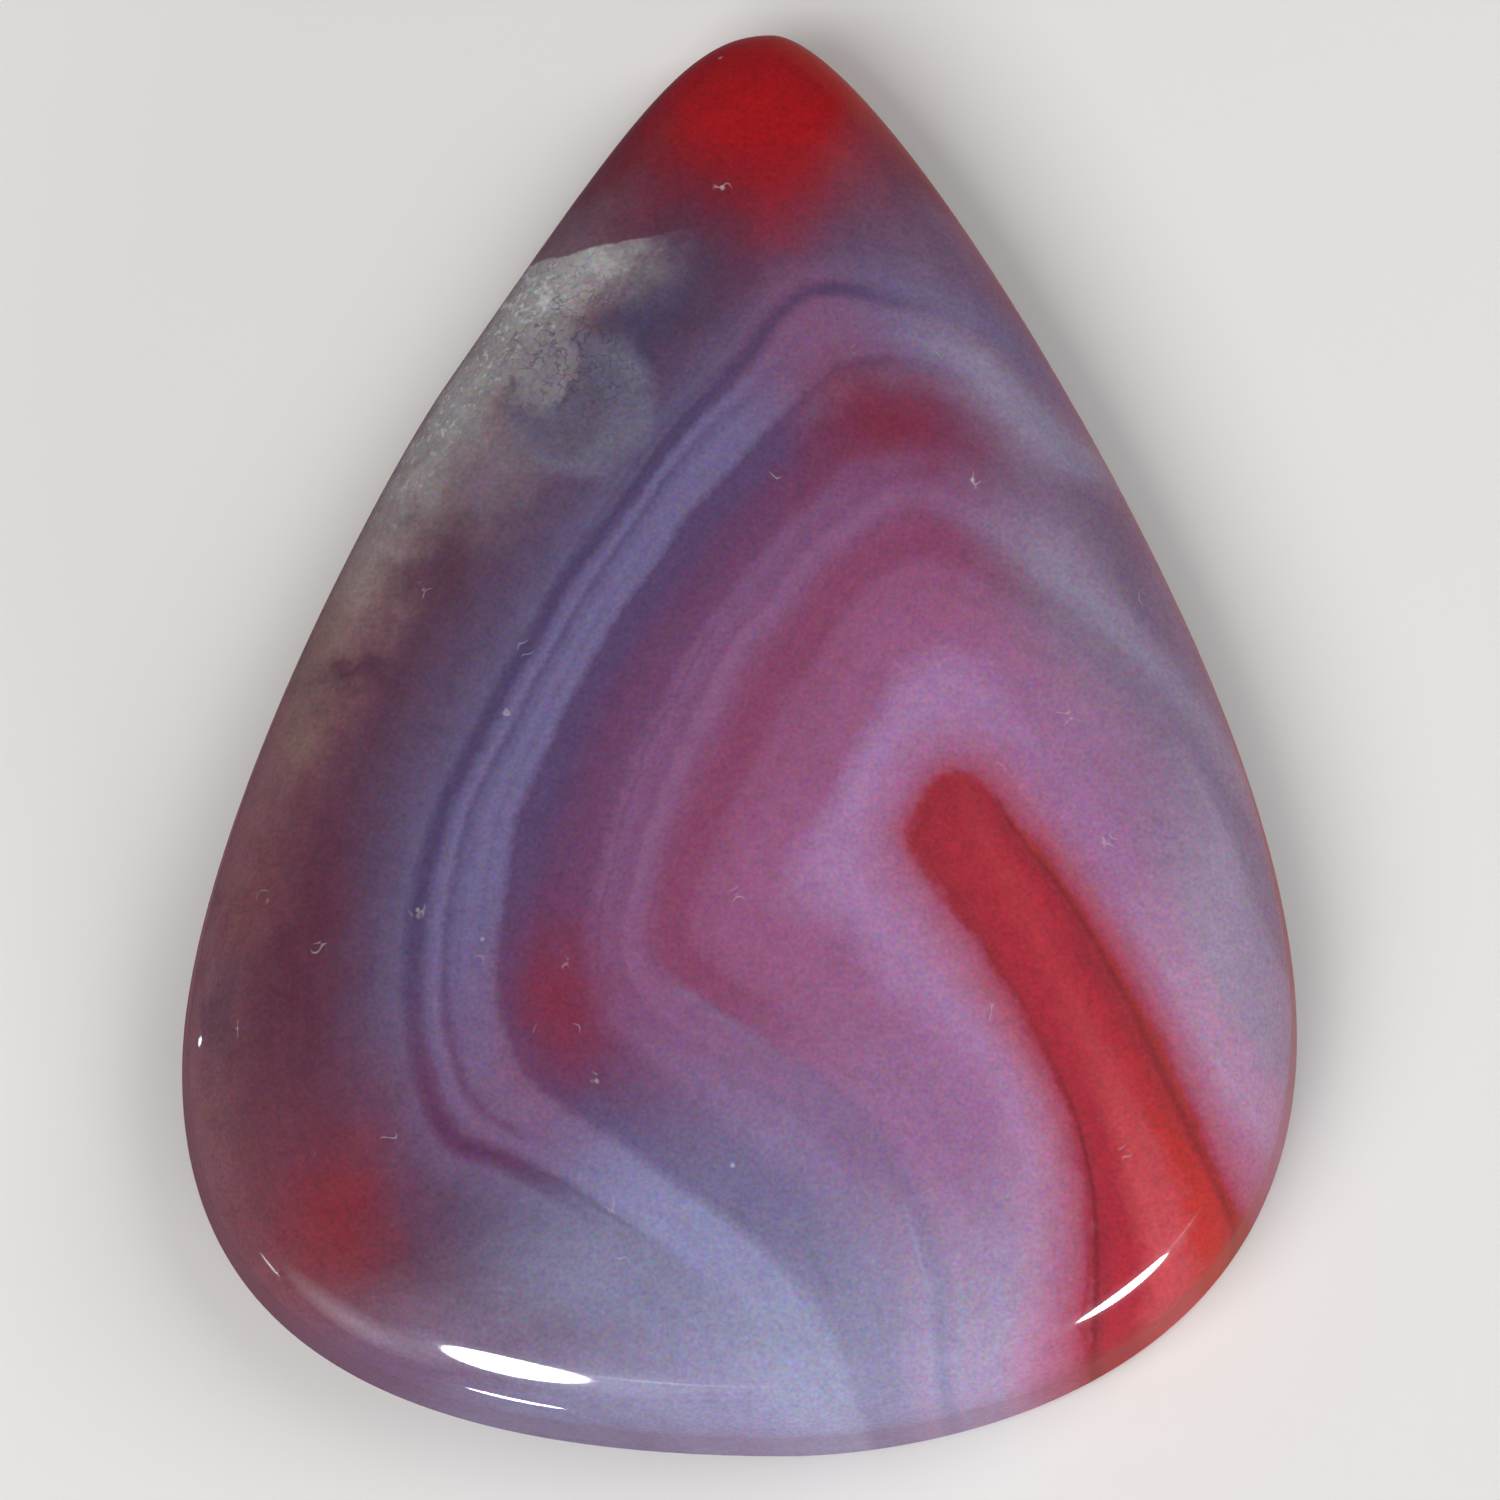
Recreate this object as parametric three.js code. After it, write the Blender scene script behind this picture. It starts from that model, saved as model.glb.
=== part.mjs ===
// A flat-backed pear cabochon of botswana agate, in millimetres.
// +Z is up through the dome, +Y points to the narrow tip, and the origin is under the middle of the stone.
import * as THREE from 'three';

// Driving dimensions
const halfLength = 18; // the stone is 36 mm from tip to base
const halfWidth = 13.9; // and 27.8 mm across the belly
const wallTop = 2.3; // height at which the ground wall ends and the shoulder begins
const wallLean = 0.3; // how far the wall leans in on its way up
const backBevel = 0.35; // the small bevel that keeps the back's edge from chipping
const shoulderInset = 2.4; // how far in from the widest edge the shoulder blends into the dome
const shoulderRise = 1.8; // height that the rounded shoulder adds
const domeRise = 1.1; // height that the low dome adds in the middle

// Fineness of the mesh
const pointsPerCurve = 22;
const shoulderSteps = 8;
const domeSteps = 7;

// The outline is not symmetric: its tip and base sit right of the middle, and its flanks differ.
const tipX = 0.8;
const baseX = 1.15;
const rightFlank = new THREE.Vector2(8.15, 9.1);
const leftFlank = new THREE.Vector2(-7.65, 8.75);
const rightBellyY = -7.4;
const leftBellyY = -8.3;
// The dome's rings close in on this point, a little below the middle, where the stone is broadest.
const crown = new THREE.Vector2(0, -3);

// Six joined curves, clockwise from the tip
function makeOutline() {
  const shape = new THREE.Shape();
  shape.moveTo(tipX, halfLength);
  shape.bezierCurveTo(tipX + 2.1, halfLength, rightFlank.x - 1.45, rightFlank.y + 2.6, rightFlank.x, rightFlank.y);
  shape.bezierCurveTo(rightFlank.x + 1.45, rightFlank.y - 2.6, halfWidth, rightBellyY + 6.2, halfWidth, rightBellyY);
  shape.bezierCurveTo(halfWidth, rightBellyY - 9.3, baseX + 3, -halfLength, baseX, -halfLength);
  shape.bezierCurveTo(baseX - 9.55, -halfLength, -halfWidth, leftBellyY - 7, -halfWidth, leftBellyY);
  shape.bezierCurveTo(-halfWidth, leftBellyY + 5.5, leftFlank.x - 1.65, leftFlank.y - 2.5, leftFlank.x, leftFlank.y);
  shape.bezierCurveTo(leftFlank.x + 4.8, leftFlank.y + 7.2, tipX - 2.3, halfLength, tipX, halfLength);
  const points = shape.getPoints(pointsPerCurve);
  points.pop();
  return points.reverse();
}

// Each outline point, the way from it to the crown, and how far apart the edge and the crown are square to the edge
function makeSpokes(outline) {
  return outline.map((point, i) => {
    const before = outline[(i + outline.length - 1) % outline.length];
    const after = outline[(i + 1) % outline.length];
    const along = after.clone().sub(before).normalize();
    const inward = crown.clone().sub(point);
    const reach = Math.abs(along.cross(inward));
    return { point, inward, reach };
  });
}

// A ring of the stone: every point of the outline moved in by the same distance from the edge
function ringAt(spokes, inset, height, domed) {
  return spokes.map(({ point, inward, reach }) => {
    const share = inset / reach;
    const place = point.clone().addScaledVector(inward, share);
    const dome = domed ? domeRise * (1 - (1 - share) ** 2) : 0;
    return new THREE.Vector3(place.x, place.y, height + dome);
  });
}

// The rings inside the shoulder close in on the crown evenly
function domeRingAt(spokes, progress) {
  const height = wallTop + shoulderRise;
  return spokes.map(({ point, inward, reach }) => {
    const start = shoulderInset / reach;
    const share = start + (1 - start) * progress;
    const place = point.clone().addScaledVector(inward, share);
    return new THREE.Vector3(place.x, place.y, height + domeRise * (1 - (1 - share) ** 2));
  });
}

function makeRings(spokes) {
  const rings = [
    ringAt(spokes, backBevel, 0, false),
    ringAt(spokes, 0, backBevel, false),
    ringAt(spokes, wallLean, wallTop, false),
  ];
  for (let step = 1; step <= shoulderSteps; step++) {
    const turn = (step / shoulderSteps) * (Math.PI / 2);
    const inset = wallLean + (shoulderInset - wallLean) * (1 - Math.cos(turn));
    rings.push(ringAt(spokes, inset, wallTop + shoulderRise * Math.sin(turn), true));
  }
  for (let step = 1; step < domeSteps; step++) {
    rings.push(domeRingAt(spokes, step / domeSteps));
  }
  return rings;
}

// One closed skin: a fan over the flat back, bands between the rings, and a fan at the crown
function skinRings(rings) {
  const count = rings[0].length;
  const vertices = [...rings.flat()];
  const backMiddle = vertices.push(new THREE.Vector3(crown.x, crown.y, 0)) - 1;
  const top = vertices.push(new THREE.Vector3(crown.x, crown.y, wallTop + shoulderRise + domeRise)) - 1;
  const lastRing = (rings.length - 1) * count;
  const faces = [];
  for (let i = 0; i < count; i++) {
    const next = (i + 1) % count;
    faces.push(backMiddle, next, i);
    faces.push(top, lastRing + i, lastRing + next);
    for (let ring = 0; ring < rings.length - 1; ring++) {
      const low = ring * count;
      const high = low + count;
      faces.push(low + i, low + next, high + next);
      faces.push(low + i, high + next, high + i);
    }
  }
  const geometry = new THREE.BufferGeometry().setFromPoints(vertices);
  geometry.setIndex(faces);
  geometry.computeVertexNormals();
  return geometry;
}

// Polished banded agate, grey-violet on average
const agate = new THREE.MeshStandardMaterial({ color: '#77648a', roughness: 0.12, metalness: 0 });

const cabochon = new THREE.Mesh(skinRings(makeRings(makeSpokes(makeOutline()))), agate);
cabochon.name = 'cabochon';

const part = new THREE.Group();
part.add(cabochon);

export default part;
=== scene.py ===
import math

import bmesh
import bpy
import numpy as np
from mathutils import Matrix, Vector


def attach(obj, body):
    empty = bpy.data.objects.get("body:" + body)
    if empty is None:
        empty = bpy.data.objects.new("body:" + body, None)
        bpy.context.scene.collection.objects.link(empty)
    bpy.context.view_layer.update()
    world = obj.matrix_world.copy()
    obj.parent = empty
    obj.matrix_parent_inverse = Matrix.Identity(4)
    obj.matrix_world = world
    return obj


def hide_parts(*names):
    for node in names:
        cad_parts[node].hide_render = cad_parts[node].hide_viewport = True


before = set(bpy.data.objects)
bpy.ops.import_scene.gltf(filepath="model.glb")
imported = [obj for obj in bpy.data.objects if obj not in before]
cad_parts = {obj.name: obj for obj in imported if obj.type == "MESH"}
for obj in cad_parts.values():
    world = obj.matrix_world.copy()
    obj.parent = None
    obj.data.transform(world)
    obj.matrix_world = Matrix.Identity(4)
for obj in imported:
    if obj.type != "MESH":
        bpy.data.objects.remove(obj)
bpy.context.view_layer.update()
mm = 0.001

# How the stone was looked at: the camera leans a little towards the round end
camera = {
    "elevation": 80.0,
    "distance": 150.0,  # millimetres
    "pixelsPerMm": 40.2,  # on a plane through the aim, in the 1500 pixel frame
    "frameWidth": 1500,
    "aim": (0.255, -0.615, 2.0),
    "sensor": 36.0,
    "clipStart": 10.0,
}

# The bands are drawn at this height, in millimetres, and run down through the stone the way it was looked at
guideHeight = 4.9
bandLean = 1 / math.tan(math.radians(camera["elevation"]))

stone = {  # millimetres
    "halfLength": 18.0,
    "halfWidth": 13.9,
    "wallTop": 2.3,
    "wallLean": 0.3,
    "backBevel": 0.35,
    "shoulderInset": 2.4,
    "shoulderRise": 1.8,
    "domeRise": 1.1,
    "tipX": 0.8,
    "baseX": 1.15,
    "rightFlank": (8.15, 9.1),
    "leftFlank": (-7.65, 8.75),
    "rightBellyY": -7.4,
    "leftBellyY": -8.3,
    "pulls": [  # how the outline bends, as it leaves one of its six points and as it meets the next
        ((2.1, 0), (-1.45, 2.6)),  # from the tip to the right flank
        ((1.45, -2.6), (0, 6.2)),  # on to the right belly
        ((0, -9.3), (3, 0)),  # on to the base
        ((-9.55, 0), (0, -7)),  # on to the left belly
        ((0, 5.5), (-1.65, -2.5)),  # on to the left flank
        ((4.8, 7.2), (-2.3, 0)),  # and back to the tip
    ],
    "crown": (0.0, -3.0),
    "columnsPerCurve": 60,
    "backRings": 30,
    "bevelSteps": (0.04, 0.5, 0.96, 1.0),
    "wallStart": 0.02,
    "wallRings": 12,
    "shoulderRings": 22,
    "domeRings": 44,
    "lastRing": 0.985,  # how far it has come from the edge towards the crown
    "creaseAngle": 40,  # degrees: an edge that turns more than this stays crisp
}


def cubic(start, startPull, endPull, end, count):
    t = np.linspace(0, 1, count, endpoint=False)[:, None]
    corners = [np.array(p, float) for p in (start, startPull, endPull, end)]
    weights = [(1 - t) ** 3, 3 * (1 - t) ** 2 * t, 3 * (1 - t) * t ** 2, t ** 3]
    return sum(w * c for w, c in zip(weights, corners))


def pulled(point, pull):
    return point[0] + pull[0], point[1] + pull[1]


def outlineOf(s):
    length, width = s["halfLength"], s["halfWidth"]
    tip, base = (s["tipX"], length), (s["baseX"], -length)
    rightBelly, leftBelly = (width, s["rightBellyY"]), (-width, s["leftBellyY"])
    corners = [tip, s["rightFlank"], rightBelly, base, leftBelly, s["leftFlank"]]  # clockwise
    curves = []
    for start, end, (leaving, meeting) in zip(corners, corners[1:] + [tip], s["pulls"]):
        curves.append(cubic(start, pulled(start, leaving), pulled(end, meeting), end, s["columnsPerCurve"]))
    return np.concatenate(curves)[::-1]


def stoneRings(s):
    outline = outlineOf(s)
    crown = np.array(s["crown"])
    along = np.roll(outline, -1, 0) - np.roll(outline, 1, 0)
    along /= np.hypot(*along.T)[:, None]
    inward = crown - outline
    reach = np.abs(along[:, 0] * inward[:, 1] - along[:, 1] * inward[:, 0])

    def ring(inset, height, domed, progress=None):
        share = inset / reach
        if progress is not None:
            share = share + (1 - share) * progress
        place = outline + inward * share[:, None]
        lift = s["domeRise"] * (1 - (1 - share) ** 2) if domed else 0 * share
        return np.column_stack([place, height + lift]) * mm

    rings = []
    bevel, lean, top = s["backBevel"], s["wallLean"], s["wallTop"]
    for progress in np.linspace(s["lastRing"], 0, s["backRings"]):
        rings.append(ring(bevel, 0.0, False, progress))
    for share in s["bevelSteps"]:
        rings.append(ring(bevel * (1 - share), bevel * share, False))
    for share in np.linspace(s["wallStart"], 1, s["wallRings"]):
        rings.append(ring(lean * share, bevel + (top - bevel) * share, False))
    start = math.atan(lean / (top - bevel))  # the shoulder sets off along the wall, so no crease shows
    inwards = (s["shoulderInset"] - lean) / math.cos(start)
    upwards = s["shoulderRise"] / (1 - math.sin(start))
    for turn in np.linspace(start, math.pi / 2, s["shoulderRings"])[1:]:
        inset = lean + inwards * (math.cos(start) - math.cos(turn))
        rings.append(ring(inset, top + upwards * (math.sin(turn) - math.sin(start)), True))
    shoulderTop = top + s["shoulderRise"]
    for progress in np.linspace(0, s["lastRing"], s["domeRings"])[1:]:
        rings.append(ring(s["shoulderInset"], shoulderTop, True, progress))
    return rings


def placeRing(mesh, layerName, points):
    cage = bmesh.from_edit_mesh(mesh)
    layer = cage.verts.layers.int[layerName]
    for vertex in cage.verts:
        if vertex.select:
            vertex.co = points[vertex[layer]]
    bmesh.update_edit_mesh(mesh)


def modelStone(s):
    rings = stoneRings(s)
    columns = len(rings[0])
    bpy.ops.object.select_all(action="DESELECT")
    bpy.ops.mesh.primitive_circle_add(vertices=columns, radius=mm, fill_type="NOTHING")
    piece = bpy.context.object
    piece.name = "polishedStone"
    mesh = piece.data
    column = mesh.attributes.new("column", "INT", "POINT")
    angles = [math.atan2(v.co.y, v.co.x) for v in mesh.vertices]
    first = rings[0] - np.mean(rings[0], axis=0)
    start = math.atan2(first[0][1], first[0][0])
    order = sorted(range(columns), key=lambda i: (angles[i] - start) % (2 * math.pi))
    for place, index in enumerate(order):
        column.data[index].value = place
    bpy.ops.object.mode_set(mode="EDIT")
    bpy.ops.mesh.select_all(action="SELECT")
    placeRing(mesh, "column", [Vector(p) for p in rings[0]])
    bpy.ops.mesh.edge_face_add()
    bpy.ops.mesh.select_mode(type="EDGE")
    for points in rings[1:]:
        bpy.ops.mesh.extrude_edges_move()
        placeRing(mesh, "column", [Vector(p) for p in points])
    bpy.ops.mesh.edge_face_add()
    bpy.ops.mesh.select_mode(type="VERT")
    bpy.ops.mesh.select_all(action="SELECT")
    bpy.ops.mesh.normals_make_consistent(inside=False)
    bpy.ops.object.mode_set(mode="OBJECT")
    mesh.attributes.remove(mesh.attributes["column"])
    bpy.ops.object.shade_smooth_by_angle(angle=math.radians(s["creaseAngle"]))
    return piece


# Where a pixel of the photograph falls on the stone's top, in millimetres
def fromPhoto(points):
    tilt = math.radians(camera["elevation"])
    back = np.array([0.0, -math.cos(tilt), math.sin(tilt)])
    upward = np.array([0.0, math.sin(tilt), math.cos(tilt)])
    side = np.array([1.0, 0.0, 0.0])
    aim = np.array(camera["aim"])
    middle = camera["frameWidth"] / 2
    offset = (np.array(points, float) - middle) / camera["pixelsPerMm"]
    eye = aim + back * camera["distance"]
    onPlane = aim + offset[:, :1] * side - offset[:, 1:] * upward
    ray = onPlane - eye
    share = (guideHeight - eye[2]) / ray[:, 2:]
    return (eye + ray * share)[:, :2]


# Guides along the bands, in pixels of the photograph: a depth from the red core outwards, and three sides of
# each band, down its right, from its peak down its left, and from its left corner to the stone's base
bandGuides = {
    "coreMiddle": {
        "depth": -1,
        "middle": [(975, 840), (1010, 900), (1045, 970), (1080, 1045), (1115, 1120), (1145, 1200),
                   (1165, 1280)],
    },
    "coreEdge": {
        "depth": 0,
        "right": [(1245, 1225), (1212, 1160), (1178, 1090), (1140, 1010), (1100, 940), (1060, 880),
                  (1010, 820), (950, 765)],
        "left": [(950, 765), (915, 800), (903, 838)],
        "low": [(903, 838), (930, 885), (975, 935), (1015, 1000), (1050, 1060), (1075, 1120), (1090, 1190),
                (1093, 1260), (1093, 1370)],
    },
    "lavenderEdge": {
        "depth": 1,
        "right": [(1290, 1120), (1235, 1050), (1180, 955), (1130, 868), (1075, 785), (1015, 715), (945, 662)],
        "left": [(945, 662), (885, 720), (845, 790), (808, 858)],
        "low": [(808, 858), (850, 925), (895, 985), (945, 1035), (985, 1090), (1008, 1150), (1020, 1220),
                (1022, 1300), (1010, 1390)],
    },
    "redLine": {
        "depth": 2,
        "right": [(1275, 935), (1250, 866), (1225, 808), (1197, 756), (1165, 708), (1138, 676), (1103, 645),
                  (1060, 613), (1010, 584), (965, 557), (930, 545)],
        "left": [(930, 545), (870, 568), (835, 600), (765, 700), (712, 810), (690, 870), (676, 940)],
        "low": [(676, 940), (725, 990), (790, 1040), (860, 1090), (910, 1150), (938, 1220), (955, 1300),
                (960, 1400)],
    },
    "lilacBand": {
        "depth": 3,
        "right": [(1235, 745), (1190, 690), (1152, 653), (1120, 620), (1075, 580), (1010, 532), (960, 505),
                  (915, 488)],
        "left": [(915, 488), (850, 525), (780, 600), (712, 700), (665, 800), (642, 880), (632, 955)],
        "low": [(632, 955), (670, 1010), (740, 1055), (810, 1105), (860, 1160), (893, 1230), (912, 1310),
                (920, 1400)],
    },
    "outerRed": {
        "depth": 4,
        "right": [(1125, 505), (1087, 488), (1050, 478), (1020, 464), (988, 437), (954, 416), (885, 408)],
        "left": [(885, 408), (835, 430), (785, 485), (725, 550), (672, 620), (622, 700), (583, 800),
                 (560, 890), (550, 970), (556, 1035)],
        "low": [(556, 1035), (620, 1082), (700, 1140), (770, 1190), (825, 1250), (855, 1320), (875, 1400)],
    },
    "periwinkle": {
        "depth": 5,
        "right": [(1082, 452), (1060, 434), (1034, 412), (1000, 378), (960, 352), (900, 338), (838, 338)],
        "left": [(838, 338), (775, 395), (675, 500), (605, 600), (548, 700), (500, 800), (480, 900),
                 (475, 1000), (500, 1080)],
        "low": [(500, 1080), (570, 1140), (650, 1195), (720, 1245), (785, 1310), (830, 1380), (845, 1420)],
    },
    "violetLine": {
        "depth": 6,
        "right": [(1040, 365), (1020, 345), (990, 325), (955, 312), (915, 303), (880, 295), (800, 288)],
        "left": [(800, 288), (750, 348), (693, 400), (618, 500), (552, 600), (495, 700), (443, 800),
                 (415, 900), (408, 1000), (418, 1070), (447, 1140)],
        "low": [(447, 1140), (500, 1162), (560, 1192), (620, 1230), (690, 1280), (750, 1335), (790, 1390),
                (805, 1430)],
    },
    "outside": {
        "depth": 8,
        "right": [(1000, 255), (940, 222), (870, 200), (800, 185)],
        "left": [(800, 185), (650, 330), (560, 430), (460, 580), (390, 720), (340, 860), (318, 1000),
                 (330, 1120), (375, 1215)],
        "low": [(375, 1215), (450, 1270), (540, 1310), (630, 1350), (700, 1400), (730, 1440)],
    },
    "rim": {
        "depth": 10,
        "right": [(960, 190), (860, 90), (770, 20)],
        "left": [(770, 20), (600, 165), (430, 400), (290, 680), (215, 880), (185, 1050), (215, 1250)],
        "low": [(215, 1250), (300, 1345), (420, 1400), (560, 1445)],
    },
}
rightLength = 650  # pixels from a band's peak that count as one down its right side
coreTipSide = 0.2  # the core's tip lies a little right of its middle


# How far along its band each point lies: 0 to 1 down the right, 1 at the peak, 2 at the corner, 3 at the base
def runAlong(points, number):
    steps = np.hypot(*np.diff(np.array(points, float), axis=0).T)
    run = np.concatenate([[0], np.cumsum(steps)])
    if number == 0:
        return 1 - (run[-1] - run) / rightLength
    return number + run / run[-1]


def bendBetween(some, others):
    apart = np.sqrt(((some[:, None] - others[None]) ** 2).sum(-1))
    return apart ** 2 * np.log(np.maximum(apart, 1e-9))  # the logarithm of nought is never taken


# A smooth sheet through scattered points, as a thin plate bends
def bendSheet(places, values, slack=0.3, pointsAtOnce=8000):
    count = len(values)
    pull = bendBetween(places, places) + np.eye(count) * slack
    plane = np.column_stack([np.ones(count), places])
    system = np.block([[pull, plane], [plane.T, np.zeros((3, 3))]])
    weights = np.linalg.solve(system, np.concatenate([values, np.zeros(3)]))

    def sheet(at):
        parts = []
        for start in range(0, len(at), pointsAtOnce):
            part = at[start:start + pointsAtOnce]
            parts.append(bendBetween(part, places) @ weights[:count] + weights[count] + part @ weights[-2:])
        return np.concatenate(parts)

    return sheet


def bandSheets():
    depthPlaces, depths, alongPlaces, alongs = [], [], [], []
    for guide in bandGuides.values():
        known = set()
        for point in guide.get("middle", []):
            depthPlaces.append(point)
            depths.append(guide["depth"])
        for number, side in enumerate(("right", "left", "low")):
            points = guide.get(side, [])
            if not points:
                continue
            for point, run in zip(points, runAlong(points, number)):
                if point in known:
                    continue
                known.add(point)
                depthPlaces.append(point)
                depths.append(guide["depth"])
                alongPlaces.append(point)
                alongs.append(run)
    depthSheet = bendSheet(fromPhoto(depthPlaces), np.array(depths, float))
    alongSheet = bendSheet(fromPhoto(alongPlaces), np.array(alongs, float))
    return depthSheet, alongSheet


# Across the red core: -1 on its left edge, 1 on its right edge
def coreSheet():
    edge = bandGuides["coreEdge"]
    middle = bandGuides["coreMiddle"]["middle"]
    tip = edge["left"][0]
    leftEdge = edge["left"][1:] + edge["low"][1:]
    rightEdge = edge["right"][:-1]
    places = middle + [tip] + leftEdge + rightEdge
    sides = [0.0] * len(middle) + [coreTipSide] + [-1.0] * len(leftEdge) + [1.0] * len(rightEdge)
    return bendSheet(fromPhoto(places), np.array(sides))


# Stores on every point how deep it lies among the bands, how far along them, and where across the core
def markBands(piece):
    mesh = piece.data
    places = np.empty(len(mesh.vertices) * 3)
    mesh.vertices.foreach_get("co", places)
    places = places.reshape(-1, 3) / mm
    plan = places[:, :2] - np.column_stack([0 * places[:, 2], (guideHeight - places[:, 2]) * bandLean])
    depthSheet, alongSheet = bandSheets()
    sheets = {"bandDepth": depthSheet, "bandAlong": alongSheet, "coreSide": coreSheet()}
    for name, sheet in sheets.items():
        layer = mesh.attributes.new(name, "FLOAT", "POINT")
        layer.data.foreach_set("value", sheet(plan).astype(np.float32))


class Wire:  # an output of the shader tree that Python's signs act on
    tree = None

    def __init__(self, socket):
        self.socket = socket

    @staticmethod
    def make(kind, settings, feeds, output=0):
        node = Wire.tree.nodes.new(kind)
        for name, value in settings.items():
            if name == "stops":
                fillRamp(node.color_ramp, value)
            else:
                setattr(node, name, value)
        for name, value in feeds.items():
            if isinstance(value, Wire):
                Wire.tree.links.new(value.socket, node.inputs[name])
            else:
                node.inputs[name].default_value = value
        return Wire(node.outputs[output])

    def beside(self, output):  # another output of the same node
        return Wire(self.socket.node.outputs[output])

    def maths(self, operation, other=0.0):
        return Wire.make("ShaderNodeMath", {"operation": operation}, {0: self, 1: other})

    def __add__(self, other):
        return self.maths("ADD", other)

    def __sub__(self, other):
        return self.maths("SUBTRACT", other)

    def __rsub__(self, other):
        return Wire.make("ShaderNodeMath", {"operation": "SUBTRACT"}, {0: other, 1: self})

    def __mul__(self, other):
        return self.maths("MULTIPLY", other)

    def __truediv__(self, other):
        return self.maths("DIVIDE", other)


def fillRamp(ramp, stops):
    ramp.interpolation = "LINEAR"
    while len(ramp.elements) > 1:
        ramp.elements.remove(ramp.elements[-1])
    ramp.elements[0].position = stops[0][0]
    ramp.elements[0].color = stops[0][1]
    for place, colour in stops[1:]:
        ramp.elements.new(place).color = colour


def linear(channel):  # from the brightness a screen is told to the light it gives
    share = channel / 255
    return share / 12.92 if share <= 0.04045 else ((share + 0.055) / 1.055) ** 2.4


def paint(name):
    return (*[linear(c) for c in pigments[name]], 1.0)


def metres(*lengths):
    return [length * mm for length in lengths]


def fade(value, start, end, first=0.0, last=1.0):
    feeds = {"Value": value, "From Min": start, "From Max": end, "To Min": first, "To Max": last}
    return Wire.make("ShaderNodeMapRange", {"interpolation_type": "SMOOTHSTEP"}, feeds)


def fadeOut(value, start, end, strength=1.0):
    return fade(value, start, end, strength, 0.0)


def bump(value, middle, width, strength=1.0):
    return fadeOut((value - middle).maths("ABSOLUTE"), 0.0, width, strength)


def vectorMaths(operation, *values, output=0):
    return Wire.make("ShaderNodeVectorMath", {"operation": operation}, dict(enumerate(values)), output)


def vectorOf(x, y):
    return Wire.make("ShaderNodeCombineXYZ", {}, {"X": x, "Y": y})


def vertexValue(name):
    return Wire.make("ShaderNodeAttribute", {"attribute_name": name}, {}, "Fac")


def mixPaint(share, under, over):
    feeds = {0: share, 6: under, 7: over}
    return Wire.make("ShaderNodeMix", {"data_type": "RGBA"}, feeds, 2)


def noise(where, detail, size, output=0):
    feeds = {"Vector": where, "Scale": 1 / size, "Detail": detail, "Roughness": 0.6}
    return Wire.make("ShaderNodeTexNoise", {}, feeds, output)


def noiseAt(where, detail, size=1.0):  # noise about nought
    return noise(where, detail, size) - 0.5


# The stone's colours, as a screen shows them under this light
pigments = {
    "coreRed": (160, 44, 58),
    "coreTipRed": (142, 43, 56),
    "coreWine": (146, 45, 58),
    "coreMiddle": (168, 52, 64),
    "coreRose": (185, 72, 80),
    "coreWarm": (178, 52, 50),
    "coreBrown": (152, 52, 54),
    "coreHalo": (158, 66, 90),
    "coreMist": (161, 84, 106),
    "wine": (154, 74, 98),
    "orchidPink": (156, 97, 133),
    "lavender": (158, 115, 158),
    "orchid": (151, 104, 146),
    "mauve": (144, 87, 125),
    "deepMauve": (137, 79, 114),
    "garnetRose": (129, 67, 99),
    "plum": (127, 74, 108),
    "lilac": (131, 86, 124),
    "dimPlum": (121, 77, 115),
    "dimLilac": (122, 82, 120),
    "aubergine": (108, 66, 101),
    "inkWine": (97, 62, 97),
    "inkViolet": (87, 66, 103),
    "periwinkle": (109, 98, 137),
    "dimPeriwinkle": (100, 90, 128),
    "lineViolet": (78, 64, 99),
    "lineWine": (88, 51, 86),
    "slateViolet": (95, 84, 116),
    "slate": (88, 70, 98),
    "smoke": (86, 57, 76),
    "umber": (106, 68, 78),
    "rimClay": (128, 90, 97),
    "purple": (121, 84, 117),
    "spotRed": (120, 44, 64),
    "pinkMist": (164, 104, 136),
    "paleOrchid": (167, 128, 159),
    "ashLilac": (151, 131, 157),
    "ashPlum": (125, 104, 130),
    "ashMauve": (141, 105, 138),
    "ashSlate": (134, 116, 141),
    "ashWine": (118, 96, 121),
    "greyLilac": (135, 124, 148),
    "greyViolet": (112, 97, 128),
    "duskViolet": (112, 88, 114),
    "lowMauve": (143, 102, 142),
    "lowPlum": (127, 99, 136),
    "lowLilac": (130, 109, 146),
    "lowInk": (112, 103, 138),
    "milkBlue": (133, 131, 169),
    "milkGrey": (124, 121, 151),
    "lowDusk": (116, 104, 130),
    "milk": (146, 146, 177),
    "milkPink": (156, 140, 172),
    "milkShade": (138, 132, 165),
    "milkDim": (134, 130, 161),
    "milkCool": (124, 120, 150),
    "tipRed": (152, 18, 24),
    "tipMaroon": (95, 28, 42),
    "tipPlum": (80, 50, 70),
    "crackPlum": (93, 48, 72),
    "tipViolet": (102, 62, 82),
    "glowRed": (130, 40, 46),
    "glowWine": (112, 50, 64),
    "leftMaroon": (88, 47, 64),
    "frostBright": (192, 191, 192),
    "frost": (156, 152, 153),
    "frostGrey": (128, 121, 126),
    "frostDim": (108, 104, 124),
    "frostShade": (86, 76, 96),
    "frostHaze": (102, 84, 96),
    "frostDusk": (113, 98, 111),
    "veinDark": (72, 62, 80),
    "clay": (140, 116, 113),
    "olive": (122, 96, 93),
    "oliveDark": (110, 66, 72),
    "stain": (76, 48, 64),
    "inkBlue": (73, 63, 90),
    "coreLine": (112, 34, 46),
}

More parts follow.
